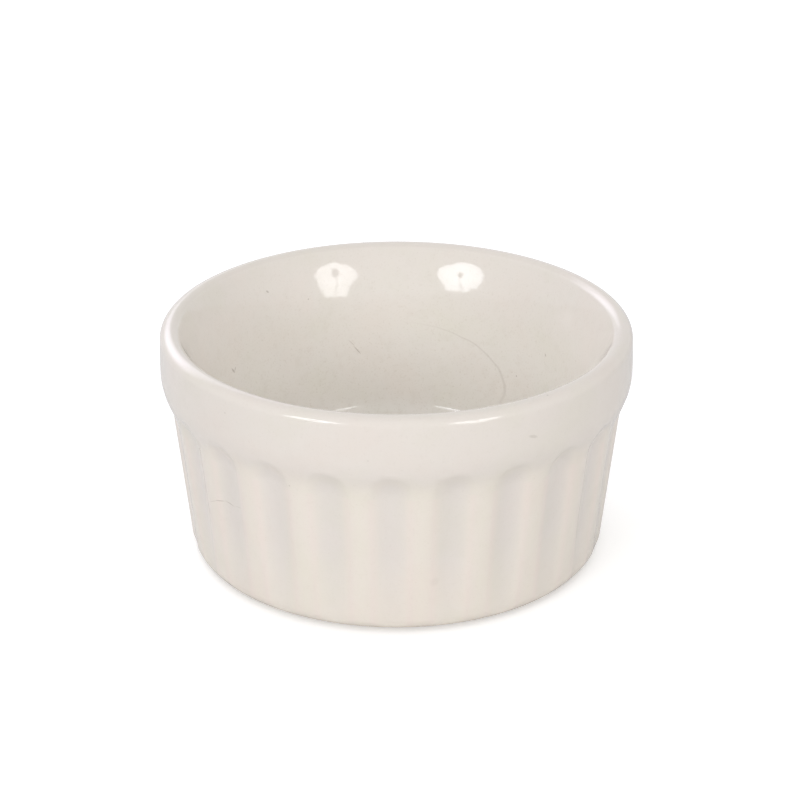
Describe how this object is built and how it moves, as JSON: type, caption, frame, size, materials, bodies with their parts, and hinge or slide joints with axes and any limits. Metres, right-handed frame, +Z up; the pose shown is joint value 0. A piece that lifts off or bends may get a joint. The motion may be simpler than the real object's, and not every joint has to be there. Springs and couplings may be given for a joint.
{
  "type": "ramekin",
  "caption": "Round fluted ramekin in cream glazed stoneware, with a plain band under a rounded lip and a bare foot ring.",
  "frame": {"origin": "centre of the foot ring, on the surface the ramekin stands on", "axes": "+Z up through the open top; a flute is centred on each of +X, +Y, -X and -Y"},
  "size_m": [0.09, 0.09, 0.045],
  "materials": {
    "bare_stoneware": "dry matt fired clay, off-white, slightly sandy",
    "cream_glaze": "smooth glossy cream glaze, a little cooler where it lies thick"
  },
  "bodies": {
    "root": {"stoneware_body": "bare_stoneware", "glaze_coat": "cream_glaze", "underside_glaze": "cream_glaze"}
  },
  "joints": []
}
